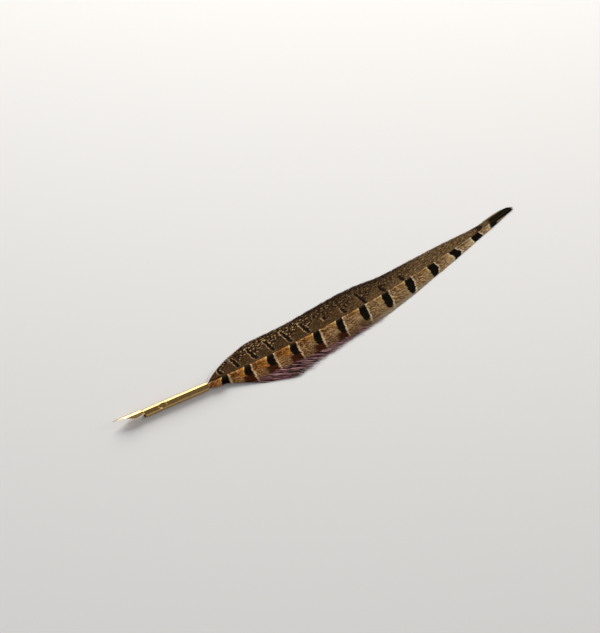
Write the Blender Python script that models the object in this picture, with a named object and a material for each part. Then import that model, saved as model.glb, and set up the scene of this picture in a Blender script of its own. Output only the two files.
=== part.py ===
"""Quill pen: a pheasant tail feather glued in a brass barrel that holds a pull-out dip nib.

The pen lies as it rests on a table. +X runs along the barrel from the nib to the feather,
+Y points to the brown vane and +Z is up. The origin is under the middle of the barrel, on
the table. Lengths are in metres and angles in radians.
"""

import math

import bmesh
import bpy
from mathutils import Vector

# Barrel
BARREL_LENGTH = 0.038
BARREL_RADIUS = 0.00235
BARREL_WALL = 0.00022
BARREL_SIDES = 36
BARREL_FRONT = -BARREL_LENGTH / 2
BARREL_REAR = BARREL_LENGTH / 2
BORE_RADIUS = BARREL_RADIUS - BARREL_WALL
# One flat of the faceted tube lies on the table.
AXIS_HEIGHT = BARREL_RADIUS * math.cos(math.pi / BARREL_SIDES)

# Dimple pressed in the barrel's side; its angle is measured from +Z toward +Y
DIMPLE_ANGLE = math.radians(-31.0)
DIMPLE_X = -0.00845
DIMPLE_LENGTH = 0.0055
DIMPLE_WIDTH = 0.0031
DIMPLE_DEPTH = 0.00050
# Share of its half size over which its wall goes down, and how much shallower its rear end is
DIMPLE_WALL = 0.24
DIMPLE_RISE = 0.45
DIMPLE_STEPS = 20
DIMPLE_CROWDING = 1.4
COPLANAR = math.radians(0.01)

# Nib: its shank fits the bore, and its body flares beyond it in front of the barrel
NIB_THICKNESS = 0.0002
NIB_SHANK_RADIUS = 0.00208
NIB_BODY_RADIUS = 0.00285
NIB_TIP_X = -0.0368
NIB_SHOULDER_X = -0.0207
NIB_NECK_X = -0.0195
NIB_SEAT_X = -0.0123
NIB_BACK_ANGLE = math.radians(29.0)
NIB_SHANK_WRAP = math.radians(86.0)
# Distance back from the point against half the blank's width
NIB_POINT_SHAPE = (
    (0.0, 0.00026), (0.0022, 0.00038), (0.0045, 0.00062), (0.0058, 0.00110), (0.0073, 0.00185),
    (0.0094, 0.00278), (0.0110, 0.00344), (0.0120, 0.00362), (0.0135, 0.00355),
)
NIB_CORNER = 0.0006
NIB_FLARE_STEPS = 4
NIB_SLIT = 0.00010
NIB_VENT_RADIUS = 0.0006
NIB_VENT_X = -0.0262
NIB_VENT_STEPS = 12
FOLD_ANGLE = math.radians(12.0)
ON_PLANE = 1e-6

# Sprung clip that grips the nib's shank from inside
CLIP_THICKNESS = 0.00016
CLIP_RING_RADIUS = 0.00208
CLIP_PRONG_RADIUS = 0.00180
CLIP_RING_FRONT = -0.0119
CLIP_RING_REAR = -0.0050
CLIP_STEP_LENGTH = 0.00035
CLIP_PRONG_TIP = -0.0177
CLIP_PRONGS = 4
CLIP_PRONG_ANGLE = math.radians(40.0)
CLIP_WRAP = math.radians(172.0)
CLIP_WINDOW_LENGTH = 0.0060
CLIP_WINDOW_WIDTH = 0.0032
# Shares of the barrel's radius between which the window's cutter stands
CUTTER_REACH = (0.35, 1.4)

# Cork plug and glue
PLUG_FRONT = -0.0046
PLUG_REAR = 0.0052
PLUG_RADIUS = 0.00208
PLUG_CHAMFER = 0.0003
GLUE_FRONT = 0.0125
GLUE_REAR = 0.0199
GLUE_RADIUS = 0.00208
GLUE_GAP = 0.00005
GLUE_SHOULDER = 0.0002
GLUE_LIP = 0.00015

# Feather shaft: straight in the barrel, then a wide arc toward the brown vane
SHAFT_START = 0.0060
SHAFT_END = 0.2335
SHAFT_BEND_RADIUS = 0.750
CALAMUS_RADIUS = 0.00150
SHAFT_TIP_RADIUS = 0.00022
CALAMUS_BORE_RADIUS = 0.00105
CALAMUS_BORE_DEPTH = 0.016
SHAFT_SIDES = 12
SHAFT_ARCH = 0.0007
SHAFT_TIP_HEIGHT = 0.00075
# Powers of the shaft's fall to the table and of its taper, by its share past the barrel
SHAFT_FALL = 1.5
SHAFT_TAPER = 0.9
SHAFT_STEPS = 36

# Vanes: barb lengths across the feather, against where the barb leaves the shaft
VANE_START = 0.0205
VANE_END = 0.2320
SPLIT_X = 0.1370
BROWN_SWEEP = 1.47
BARRED_SWEEP = 2.05
BROWN_WIDTHS = (
    (0.0205, 0.0135), (0.0280, 0.0165), (0.0500, 0.0165), (0.0800, 0.0175), (0.1000, 0.0165),
    (0.1200, 0.0135), (0.1450, 0.0115), (0.1700, 0.0090), (0.2000, 0.0050), (0.2150, 0.0045),
    (0.2250, 0.0030), (0.2320, 0.0010),
)
BARRED_WIDTHS = (
    (0.0205, 0.0125), (0.0250, 0.0170), (0.0350, 0.0170), (0.0500, 0.0150), (0.0750, 0.0130),
    (0.1000, 0.0115), (0.1250, 0.0095), (0.1500, 0.0070), (0.1750, 0.0050), (0.2000, 0.0030),
    (0.2320, 0.0010),
)
VANE_ROOT_THICKNESS = 0.00045
VANE_EDGE_THICKNESS = 0.00030
VANE_EDGE_HEIGHT = 0.00020
VANE_DROOP = 1.6
# Share of a barb's lean that grows along it, and how far the last barbs pass the shaft's end
BARB_BOW = 0.2
TIP_REACH = 0.0004
# The first barbs hug the shaft before they spread, and lean further than the rest
BASE_HUG = {1: -0.15, -1: 0.6}
BASE_LEAN = {1: 0.0, -1: 0.16}
BASE_LENGTH = 0.012
SHAFT_GAP = 0.00012
PIECE_GAP = 0.00025
# Longest share of a barb that is loose, and how squarely that share rises and ends
FRINGE_SHARE = 0.30
FRINGE_ROUNDNESS = 0.6
FRINGE_STEPS = 18
VANE_STEP = 0.0050
VANE_COLUMNS = 6


def clear_scene():
    for obj in list(bpy.data.objects):
        bpy.data.objects.remove(obj, do_unlink=True)


def material(name, color, roughness, metallic=0.0):
    made = bpy.data.materials.new(name)
    made.use_nodes = True
    shader = made.node_tree.nodes["Principled BSDF"]
    shader.inputs["Base Color"].default_value = (*color, 1.0)
    shader.inputs["Roughness"].default_value = roughness
    shader.inputs["Metallic"].default_value = metallic
    return made


def add_object(name, bm, surface=None, smooth_angle=math.radians(35.0)):
    """Make an object from a bmesh, with outward faces and smooth rounds."""
    bmesh.ops.recalc_face_normals(bm, faces=bm.faces)
    mesh = bpy.data.meshes.new(name)
    bm.to_mesh(mesh)
    bm.free()
    mesh.shade_smooth()
    mesh.set_sharp_from_angle(angle=smooth_angle)
    if surface:
        mesh.materials.append(surface)
    obj = bpy.data.objects.new(name, mesh)
    bpy.context.scene.collection.objects.link(obj)
    return obj


def around_axis(x, radius, angle):
    """A point at a radius from the barrel's axis; the angle runs from +Z toward +Y."""
    return Vector((x, radius * math.sin(angle), AXIS_HEIGHT + radius * math.cos(angle)))


def smooth_curve(points, x):
    """Value at x of a Catmull-Rom curve through (x, value) points; flat beyond the ends."""
    if x <= points[0][0]:
        return points[0][1]
    if x >= points[-1][0]:
        return points[-1][1]
    last = len(points) - 1
    i = next(k for k in range(last) if x <= points[k + 1][0])
    (x0, y0), (x1, y1) = points[i], points[i + 1]
    span = x1 - x0
    before = points[max(i - 1, 0)]
    after = points[min(i + 2, last)]
    slope0 = (y1 - before[1]) / (x1 - before[0])
    slope1 = (after[1] - y0) / (after[0] - x0)
    t = (x - x0) / span
    return (
        (2 * t**3 - 3 * t**2 + 1) * y0
        + (t**3 - 2 * t**2 + t) * span * slope0
        + (3 * t**2 - 2 * t**3) * y1
        + (t**3 - t**2) * span * slope1
    )


# Turned and rolled metal


def turned_ring(profile, sides=BARREL_SIDES):
    """A ring about the barrel's axis from a closed (x, radius) profile."""
    bm = bmesh.new()
    step = math.tau / sides
    rings = []
    for k in range(sides):
        angle = (k + 0.5) * step
        rings.append([bm.verts.new(around_axis(x, radius, angle)) for x, radius in profile])
    count = len(profile)
    for k in range(sides):
        here = rings[k]
        there = rings[(k + 1) % sides]
        for i in range(count):
            j = (i + 1) % count
            bm.faces.new((here[i], here[j], there[j], there[i]))
    return bm


def turned_plug(profile, sides=BARREL_SIDES):
    """A solid of revolution about the barrel's axis from an open (x, radius) profile."""
    bm = bmesh.new()
    rings = []
    for x, radius in profile:
        angles = [(k + 0.5) * math.tau / sides for k in range(sides)]
        rings.append([bm.verts.new(around_axis(x, radius, angle)) for angle in angles])
    for here, there in zip(rings, rings[1:]):
        for k in range(sides):
            j = (k + 1) % sides
            bm.faces.new((here[k], here[j], there[j], there[k]))
    bm.faces.new(rings[0])
    bm.faces.new(rings[-1])
    return bm


def rolled_blank(outline, thickness, turn, mid_radius, bends):
    """Roll a flat sheet blank about the barrel's axis.

    outline holds (x, girth) points on the blank, mid_radius(x) is the sheet's middle radius
    and turn is the angle of the blank's centre line. The sheet folds at every FOLD_ANGLE of
    its girth and at each x in bends.
    """
    bm = bmesh.new()
    bm.faces.new([bm.verts.new((x, girth, 0.0)) for x, girth in outline])
    widest = max(abs(girth) for _, girth in outline)
    crease = mid_radius(max(x for x, _ in outline)) * FOLD_ANGLE
    folds = int(widest / crease + 0.5)
    lines = [((0.0, (k + 0.5) * crease, 0.0), (0.0, 1.0, 0.0)) for k in range(-folds, folds)]
    lines += [((x, 0.0, 0.0), (1.0, 0.0, 0.0)) for x in bends]
    for point, normal in lines:
        whole = bm.verts[:] + bm.edges[:] + bm.faces[:]
        bmesh.ops.bisect_plane(bm, geom=whole, dist=ON_PLANE, plane_co=point, plane_no=normal)
    flat = bm.faces[:]
    lid = bmesh.ops.extrude_face_region(bm, geom=flat)
    for item in lid["geom"]:
        if isinstance(item, bmesh.types.BMVert):
            item.co.z = thickness
    for vert in bm.verts:
        x, girth, height = vert.co
        middle = mid_radius(x)
        radius = middle - thickness / 2 + height
        vert.co = around_axis(x, radius, turn + girth / middle)
    return bm


def dimple_depth(x, angle):
    """How far the wall is pressed in: deepest near the nib, rising toward the feather."""
    along = (x - DIMPLE_X) / (DIMPLE_LENGTH / 2)
    across = (angle - DIMPLE_ANGLE) * BARREL_RADIUS / (DIMPLE_WIDTH / 2)
    inward = min(max((1.0 - math.hypot(along, across)) / DIMPLE_WALL, 0.0), 1.0)
    level = 1.0 - DIMPLE_RISE * (along + 1.0) / 2
    return DIMPLE_DEPTH * level * inward * inward * (3.0 - 2.0 * inward)


def barrel_angles():
    """Angles of the tube's corners, closer together at the dimple."""
    step = math.tau / BARREL_SIDES
    half = DIMPLE_WIDTH / 2 / BARREL_RADIUS + step
    angles = []
    for k in range(BARREL_SIDES):
        corner = (k + 0.5) * step - math.pi
        angles.append(corner)
        if abs(corner + step / 2 - DIMPLE_ANGLE) < half:
            angles += [corner + step / 3, corner + step * 2 / 3]
    return angles


def make_barrel(brass):
    """Tube with a dimple in its side, which keys into the clip's window."""
    start = DIMPLE_X - DIMPLE_LENGTH / 2
    shares = [(k / DIMPLE_STEPS) ** DIMPLE_CROWDING for k in range(DIMPLE_STEPS + 1)]
    stations = [start + DIMPLE_LENGTH * share for share in shares]
    stations = [BARREL_FRONT] + stations + [BARREL_REAR]
    sides = [(BARREL_RADIUS, x) for x in stations] + [(BORE_RADIUS, x) for x in reversed(stations)]
    angles = barrel_angles()
    bm = bmesh.new()
    rings = []
    for radius, x in sides:
        corners = [around_axis(x, radius - dimple_depth(x, angle), angle) for angle in angles]
        rings.append([bm.verts.new(corner) for corner in corners])
    for here, there in zip(rings, rings[1:] + rings[:1]):
        for k in range(len(angles)):
            j = (k + 1) % len(angles)
            bm.faces.new((here[k], here[j], there[j], there[k]))
    bmesh.ops.dissolve_limit(bm, angle_limit=COPLANAR, verts=bm.verts, edges=bm.edges)
    return add_object("barrel", bm, brass)


def oval_cutter(name, length, width):
    """Oval prism through the tube's side at the dimple, standing on the tube's axis."""
    bm = bmesh.new()
    sides = 20
    side_way = Vector((0.0, math.cos(DIMPLE_ANGLE), -math.sin(DIMPLE_ANGLE)))
    layers = []
    for share in CUTTER_REACH:
        centre = around_axis(DIMPLE_X, BARREL_RADIUS * share, DIMPLE_ANGLE)
        ring = []
        for k in range(sides):
            angle = k * math.tau / sides
            offset = Vector((length / 2 * math.cos(angle), 0.0, 0.0))
            offset += side_way * (width / 2 * math.sin(angle))
            ring.append(bm.verts.new(centre + offset))
        layers.append(ring)
    for k in range(sides):
        j = (k + 1) % sides
        bm.faces.new((layers[0][k], layers[0][j], layers[1][j], layers[1][k]))
    bm.faces.new(layers[0])
    bm.faces.new(layers[1])
    return as_guide(add_object(name, bm))


def as_guide(obj):
    obj.hide_render = True
    obj.display_type = "WIRE"
    return obj


def boolean(obj, other, operation):
    modifier = obj.modifiers.new(operation.lower(), "BOOLEAN")
    modifier.operation = operation
    modifier.solver = "EXACT"
    modifier.object = other


def cut(obj, cutter):
    boolean(obj, cutter, "DIFFERENCE")


def nib_radius(x):
    """Middle radius of the nib's sheet."""
    share = min(max((NIB_NECK_X - x) / (NIB_NECK_X - NIB_SHOULDER_X), 0.0), 1.0)
    flare = share * share * (3.0 - 2.0 * share)
    outer = NIB_SHANK_RADIUS + (NIB_BODY_RADIUS - NIB_SHANK_RADIUS) * flare
    return outer - NIB_THICKNESS / 2


def nib_outline():
    """Flat nib blank: point, swept shoulders, straight shank, and a slit to the vent hole."""
    shank = nib_radius(NIB_SEAT_X) * NIB_SHANK_WRAP
    slit = NIB_SLIT / 2
    half = [(NIB_TIP_X + back, width) for back, width in NIB_POINT_SHAPE]
    half += [
        (NIB_NECK_X, shank),
        (NIB_SEAT_X - NIB_CORNER, shank),
        (NIB_SEAT_X, shank - NIB_CORNER),
    ]
    vent = []
    start = math.asin(slit / NIB_VENT_RADIUS)
    for k in range(NIB_VENT_STEPS + 1):
        angle = start + (math.tau - 2 * start) * k / NIB_VENT_STEPS
        x = NIB_VENT_X - NIB_VENT_RADIUS * math.cos(angle)
        vent.append((x, -NIB_VENT_RADIUS * math.sin(angle)))
    other_half = [(x, -girth) for x, girth in reversed(half)]
    return half + other_half + [(NIB_TIP_X, -slit)] + vent + [(NIB_TIP_X, slit)]


def make_nib(gold):
    flare = NIB_SHOULDER_X - NIB_NECK_X
    bends = [NIB_NECK_X + flare * k / NIB_FLARE_STEPS for k in range(NIB_FLARE_STEPS + 1)]
    bm = rolled_blank(nib_outline(), NIB_THICKNESS, NIB_BACK_ANGLE, nib_radius, bends)
    nib = add_object("nib", bm, gold)
    # The nib's origin is on its slide, at the centre of its seated end.
    seat = Vector((NIB_SEAT_X, 0.0, AXIS_HEIGHT))
    for vert in nib.data.vertices:
        vert.co -= seat
    nib.location = seat
    return nib


def make_nib_clip(bronze):
    """Rolled ring with prongs that step inward and reach into the nib's shank."""
    middle = CLIP_RING_RADIUS - CLIP_THICKNESS / 2
    ring_half = middle * CLIP_WRAP
    prong = middle * CLIP_PRONG_ANGLE
    pitch = 2 * ring_half / CLIP_PRONGS
    prong_root = CLIP_RING_FRONT - CLIP_STEP_LENGTH
    outline = [(x, ring_half) for x in (CLIP_RING_REAR, CLIP_RING_FRONT)]
    for k in reversed(range(CLIP_PRONGS)):
        centre = -ring_half + (k + 0.5) * pitch
        outline.append((CLIP_RING_FRONT, centre + prong / 2))
        outline.append((prong_root, centre + prong / 2))
        outline.append((CLIP_PRONG_TIP, centre + prong / 3))
        outline.append((CLIP_PRONG_TIP, centre - prong / 3))
        outline.append((prong_root, centre - prong / 2))
        outline.append((CLIP_RING_FRONT, centre - prong / 2))
    outline += [(x, -ring_half) for x in (CLIP_RING_FRONT, CLIP_RING_REAR)]

    def sheet_radius(x):
        step = min(max((CLIP_RING_FRONT - x) / CLIP_STEP_LENGTH, 0.0), 1.0)
        inner = CLIP_PRONG_RADIUS - CLIP_THICKNESS / 2
        return middle + (inner - middle) * step

    bends = (CLIP_RING_FRONT, prong_root)
    bm = rolled_blank(outline, CLIP_THICKNESS, DIMPLE_ANGLE, sheet_radius, bends)
    clip = add_object("nib_clip", bm, bronze)
    cut(clip, oval_cutter("clip_window_cutter", CLIP_WINDOW_LENGTH, CLIP_WINDOW_WIDTH))
    return clip


def make_end_plug(cork):
    profile = [
        (PLUG_FRONT, PLUG_RADIUS - PLUG_CHAMFER),
        (PLUG_FRONT + PLUG_CHAMFER, PLUG_RADIUS),
        (PLUG_REAR - PLUG_CHAMFER, PLUG_RADIUS),
        (PLUG_REAR, PLUG_RADIUS - PLUG_CHAMFER),
    ]
    return add_object("end_plug", turned_plug(profile), cork)


def make_glue_collar(glue):
    """Glue that fills the bore round the calamus and stands as a small fillet at the mouth."""
    inner = CALAMUS_RADIUS + GLUE_GAP
    profile = [
        (GLUE_FRONT, inner),
        (GLUE_FRONT, GLUE_RADIUS),
        (BARREL_REAR + GLUE_SHOULDER, GLUE_RADIUS),
        (GLUE_REAR, inner + GLUE_LIP),
        (GLUE_REAR, inner),
    ]
    return add_object("glue_collar", turned_ring(profile), glue)


# Feather


def reach_past_barrel(x):
    """Share of the free shaft, from 0 at the barrel's mouth to 1 at the feather's tip."""
    return max(x - BARREL_REAR, 0.0) / (SHAFT_END - BARREL_REAR)


def shaft_centre(x):
    free = max(x - BARREL_REAR, 0.0)
    bend = free * free / (2 * SHAFT_BEND_RADIUS)
    share = reach_past_barrel(x)
    arch = SHAFT_ARCH * math.sin(math.pi * share) ** 2
    fall = (AXIS_HEIGHT - SHAFT_TIP_HEIGHT) * share**SHAFT_FALL
    return Vector((x, bend, AXIS_HEIGHT + arch - fall))


def shaft_radius(x):
    share = reach_past_barrel(x)
    return SHAFT_TIP_RADIUS + (CALAMUS_RADIUS - SHAFT_TIP_RADIUS) * (1.0 - share) ** SHAFT_TAPER


def shaft_ring(bm, x, radius):
    centre = shaft_centre(x)
    ring = []
    for k in range(SHAFT_SIDES):
        angle = (k + 0.5) * math.tau / SHAFT_SIDES
        around = Vector((0.0, math.sin(angle), math.cos(angle)))
        ring.append(bm.verts.new(centre + around * radius))
    return ring


def make_quill_shaft(keratin):
    """Calamus with its hollow, open at the cut end, running on as the solid rachis."""
    bm = bmesh.new()
    bore_end = SHAFT_START + CALAMUS_BORE_DEPTH
    straight = [SHAFT_START, BARREL_REAR]
    free = SHAFT_END - BARREL_REAR
    curved = [BARREL_REAR + free * (k + 1) / SHAFT_STEPS for k in range(SHAFT_STEPS)]
    rings = [shaft_ring(bm, x, CALAMUS_BORE_RADIUS) for x in (bore_end, SHAFT_START)]
    rings += [shaft_ring(bm, x, shaft_radius(x)) for x in straight + curved]
    for here, there in zip(rings, rings[1:]):
        for k in range(SHAFT_SIDES):
            j = (k + 1) % SHAFT_SIDES
            bm.faces.new((here[k], here[j], there[j], there[k]))
    bm.faces.new(rings[0])
    bm.faces.new(rings[-1])
    return add_object("quill_shaft", bm, keratin)


def barb_point(root_x, t, side, widths, sweep):
    """Middle of the vane sheet at share t of the barb that leaves the shaft at root_x.

    side is +1 for the brown vane and -1 for the barred one. Barbs lean toward the tip and
    droop, so that the feather is a low roof whose edges reach the table.
    """
    width = smooth_curve(widths, root_x)
    start = shaft_radius(root_x) + SHAFT_GAP
    base = math.exp((VANE_START - root_x) / BASE_LENGTH)
    out = start + (max(width, start + PIECE_GAP) - start) * t ** (1.0 + BASE_HUG[side] * base)
    lean = sweep * width * ((1.0 - BARB_BOW) * t + BARB_BOW * t * t) * (1.0 + BASE_LEAN[side] * base)
    x = min(root_x + lean, SHAFT_END + TIP_REACH * t)
    centre = shaft_centre(x)
    fall = t**VANE_DROOP
    z = centre.z * (1.0 - fall) + VANE_EDGE_HEIGHT * fall
    return Vector((x, centre.y + side * out, z))


def vane_station(step):
    return VANE_START + step * VANE_STEP


def vane_sheet(name, surface, side, widths, sweep, first, last, inner, outer):
    """Closed curved sheet between two barbs, from share inner(x) to share outer(x) of them."""
    bm = bmesh.new()
    whole_steps = [vane_station(k) for k in range(round((VANE_END - VANE_START) / VANE_STEP) + 1)]
    between = [x for x in whole_steps if first + VANE_STEP / 4 < x < last - VANE_STEP / 4]
    roots = [first] + between + [last]
    stations = len(roots) - 1
    top = []
    bottom = []
    for root_x in roots:
        low = inner(root_x)
        high = outer(root_x)
        upper_row = []
        lower_row = []
        for j in range(VANE_COLUMNS + 1):
            t = low + (high - low) * j / VANE_COLUMNS
            middle = barb_point(root_x, t, side, widths, sweep)
            half = (VANE_ROOT_THICKNESS * (1 - t) + VANE_EDGE_THICKNESS * t) / 2
            upper_row.append(bm.verts.new(middle + Vector((0.0, 0.0, half))))
            lower_row.append(bm.verts.new(middle - Vector((0.0, 0.0, half))))
        top.append(upper_row)
        bottom.append(lower_row)
    for rows in (top, bottom):
        for here, there in zip(rows, rows[1:]):
            for j in range(VANE_COLUMNS):
                bm.faces.new((here[j], here[j + 1], there[j + 1], there[j]))
    for i in range(stations):
        for j in (0, VANE_COLUMNS):
            bm.faces.new((top[i][j], top[i + 1][j], bottom[i + 1][j], bottom[i][j]))
    for i in (0, stations):
        for j in range(VANE_COLUMNS):
            bm.faces.new((top[i][j], top[i][j + 1], bottom[i][j + 1], bottom[i][j]))
    return add_object(name, bm, surface)


def fringe_share(root_x):
    """Share of a barred barb where its hooked web ends and its loose end begins."""
    along = (root_x - VANE_START) / (FRINGE_STEPS * VANE_STEP)
    if along >= 1.0:
        return 1.0
    return 1.0 - FRINGE_SHARE * math.sin(math.pi * along) ** FRINGE_ROUNDNESS


def web_edge(root_x):
    """Outer share of the barred web, a gap short of the loose barb ends."""
    share = fringe_share(root_x)
    gap = PIECE_GAP / smooth_curve(BARRED_WIDTHS, root_x)
    return share - gap if share < 1.0 else 1.0


def make_vanes(brown, barred, barred_tip, fringe):
    barred_side = (-1, BARRED_WIDTHS, BARRED_SWEEP)
    vane_sheet(
        "upper_vane", brown, 1, BROWN_WIDTHS, BROWN_SWEEP, VANE_START, VANE_END,
        lambda x: 0.0, lambda x: 1.0,
    )
    vane_sheet(
        "lower_vane_base", barred, *barred_side, VANE_START, SPLIT_X - PIECE_GAP,
        lambda x: 0.0, web_edge,
    )
    vane_sheet(
        "lower_vane_tip", barred_tip, *barred_side, SPLIT_X + PIECE_GAP, VANE_END,
        lambda x: 0.0, lambda x: 1.0,
    )
    vane_sheet(
        "barb_fringe", fringe, *barred_side, vane_station(1), vane_station(FRINGE_STEPS - 1),
        fringe_share, lambda x: 1.0,
    )


def main():
    clear_scene()
    make_barrel(material("brass", (0.72, 0.52, 0.22), 0.25, 1.0))
    make_nib(material("nib_gold", (0.85, 0.66, 0.32), 0.2, 1.0))
    make_nib_clip(material("spring_bronze", (0.66, 0.43, 0.25), 0.35, 1.0))
    make_end_plug(material("cork", (0.50, 0.33, 0.19), 0.9))
    make_glue_collar(material("glue", (0.62, 0.45, 0.22), 0.3))
    make_quill_shaft(material("shaft_keratin", (0.42, 0.24, 0.09), 0.45))
    make_vanes(
        material("brown_vane", (0.16, 0.10, 0.05), 0.75),
        material("barred_vane", (0.45, 0.27, 0.10), 0.75),
        material("barred_vane_tip", (0.50, 0.37, 0.19), 0.75),
        material("fringe_purple", (0.30, 0.12, 0.15), 0.75),
    )


main()
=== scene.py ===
import math
import random

import bmesh
import bpy
from mathutils import Matrix, Vector


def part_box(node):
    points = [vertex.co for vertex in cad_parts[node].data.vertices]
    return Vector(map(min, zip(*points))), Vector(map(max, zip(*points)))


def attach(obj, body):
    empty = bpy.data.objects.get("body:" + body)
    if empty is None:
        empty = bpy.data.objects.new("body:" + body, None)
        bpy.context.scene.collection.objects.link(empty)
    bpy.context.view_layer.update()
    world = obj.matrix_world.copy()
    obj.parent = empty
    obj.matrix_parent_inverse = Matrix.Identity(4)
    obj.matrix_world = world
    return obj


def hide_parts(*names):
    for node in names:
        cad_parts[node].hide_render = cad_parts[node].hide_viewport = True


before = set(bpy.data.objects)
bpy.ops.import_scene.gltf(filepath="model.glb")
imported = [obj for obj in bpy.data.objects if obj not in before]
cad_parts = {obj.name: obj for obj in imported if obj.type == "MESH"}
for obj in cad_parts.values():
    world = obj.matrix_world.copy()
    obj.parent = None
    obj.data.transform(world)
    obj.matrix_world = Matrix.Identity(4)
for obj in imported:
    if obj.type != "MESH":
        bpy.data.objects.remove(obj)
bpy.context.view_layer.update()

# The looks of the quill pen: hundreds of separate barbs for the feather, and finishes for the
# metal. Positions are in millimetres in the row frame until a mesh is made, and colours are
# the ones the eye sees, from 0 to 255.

MM = 0.001

# ---------------------------------------------------------------------------------------
# The feather's shape, as in the CAD
# ---------------------------------------------------------------------------------------

barrel_low, barrel_high = (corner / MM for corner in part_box("barrel"))
BARREL_REAR = barrel_high.x
AXIS_HEIGHT = (barrel_low.z + barrel_high.z) / 2

SHAFT_START = 6.0
SHAFT_END = 233.5
SHAFT_BEND_RADIUS = 750.0
CALAMUS_RADIUS = 1.50
SHAFT_TIP_RADIUS = 0.22
CALAMUS_BORE_RADIUS = 1.05
CALAMUS_BORE_END = 22.0
SHAFT_ARCH = 0.7
SHAFT_TIP_HEIGHT = 0.75
SHAFT_FALL = 1.5
SHAFT_TAPER = 0.9

VANE_START = 20.5
VANE_END = 232.0
SWEEP = {1: 1.47, -1: 2.05}
WIDTHS = {
    1: (
        (20.5, 13.5), (28.0, 16.5), (50.0, 16.5), (80.0, 17.5), (100.0, 16.5), (120.0, 13.5),
        (145.0, 11.5), (170.0, 9.0), (200.0, 5.0), (215.0, 4.5), (225.0, 3.0), (232.0, 1.0),
    ),
    -1: (
        (20.5, 12.5), (25.0, 17.0), (35.0, 17.0), (50.0, 15.0), (75.0, 13.0), (100.0, 11.5),
        (125.0, 9.5), (150.0, 7.0), (175.0, 5.0), (200.0, 3.0), (232.0, 1.0),
    ),
}
EDGE_HEIGHT = 0.20
DROOP = 1.6
BARB_BOW = 0.2
TIP_REACH = 0.4
BASE_HUG = {1: -0.15, -1: 0.6}
BASE_LEAN = {1: 0.0, -1: 0.16}
BASE_LENGTH = 12.0
FRINGE_SHARE = 0.30
FRINGE_END = 110.5
FRINGE_ROUNDNESS = 0.6
# Barbs leave the shaft high on its sides
ROOT_OUT = 0.72
ROOT_UP = 0.55
ROOT_REACH = 0.25
SHORTEST_BARB = 0.3


def smooth_curve(points, x):
    """Value at x of a Catmull-Rom curve through (x, value) points; flat beyond the ends."""
    if x <= points[0][0]:
        return points[0][1]
    if x >= points[-1][0]:
        return points[-1][1]
    last = len(points) - 1
    i = next(k for k in range(last) if x <= points[k + 1][0])
    (x0, y0), (x1, y1) = points[i], points[i + 1]
    span = x1 - x0
    before = points[max(i - 1, 0)]
    after = points[min(i + 2, last)]
    slope0 = (y1 - before[1]) / (x1 - before[0])
    slope1 = (after[1] - y0) / (after[0] - x0)
    t = (x - x0) / span
    return (
        (2 * t**3 - 3 * t**2 + 1) * y0
        + (t**3 - 2 * t**2 + t) * span * slope0
        + (3 * t**2 - 2 * t**3) * y1
        + (t**3 - t**2) * span * slope1
    )


def straight_curve(points, x):
    """Value at x of straight lines through (x, value) points, carried on beyond the ends."""
    last = len(points) - 1
    i = next((k for k in range(last) if x <= points[k + 1][0]), last - 1)
    (x0, y0), (x1, y1) = points[i], points[i + 1]
    return y0 + (y1 - y0) * (x - x0) / (x1 - x0)


def ease(value, low, high):
    """Smooth step from 0 at low to 1 at high."""
    t = min(max((value - low) / (high - low), 0.0), 1.0)
    return t * t * (3 - 2 * t)


def free_share(x):
    return max(x - BARREL_REAR, 0.0) / (SHAFT_END - BARREL_REAR)


def shaft_centre(x):
    free = max(x - BARREL_REAR, 0.0)
    share = free_share(x)
    arch = SHAFT_ARCH * math.sin(math.pi * share) ** 2
    fall = (AXIS_HEIGHT - SHAFT_TIP_HEIGHT) * share**SHAFT_FALL
    return Vector((x, free * free / (2 * SHAFT_BEND_RADIUS), AXIS_HEIGHT + arch - fall))


def shaft_radius(x):
    share = free_share(x)
    left = max(1.0 - share, 0.0) ** SHAFT_TAPER
    return SHAFT_TIP_RADIUS + (CALAMUS_RADIUS - SHAFT_TIP_RADIUS) * left


def barb_point(root, t, side, length=1.0):
    """Point at share t of the barb that leaves the shaft at root; side is +1 for brown."""
    width = smooth_curve(WIDTHS[side], root) * length
    radius = shaft_radius(root)
    base = math.exp((VANE_START - root) / BASE_LENGTH)
    start = radius * ROOT_OUT
    out = start + (max(width, start + SHORTEST_BARB) - start) * t ** (1.0 + BASE_HUG[side] * base)
    bowed = (1.0 - BARB_BOW) * t + BARB_BOW * t * t
    lean = SWEEP[side] * width * bowed * (1.0 + BASE_LEAN[side] * base)
    x = min(root + lean, SHAFT_END + TIP_REACH * t)
    centre = shaft_centre(x)
    fall = t**DROOP
    lift = radius * ROOT_UP * max(1.0 - t / ROOT_REACH, 0.0) ** 2
    z = centre.z * (1.0 - fall) + EDGE_HEIGHT * fall + lift
    return Vector((x, centre.y + side * out, z))


def fringe_start(root):
    """Share of a barred barb where its hooked web ends and its loose end begins."""
    along = (root - VANE_START) / (FRINGE_END - VANE_START)
    if along >= 1.0:
        return 1.0
    return 1.0 - FRINGE_SHARE * math.sin(math.pi * max(along, 0.0)) ** FRINGE_ROUNDNESS


# ---------------------------------------------------------------------------------------
# The pattern's layout: black bars, and the thin dark lines of the brown vane
# ---------------------------------------------------------------------------------------

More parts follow.
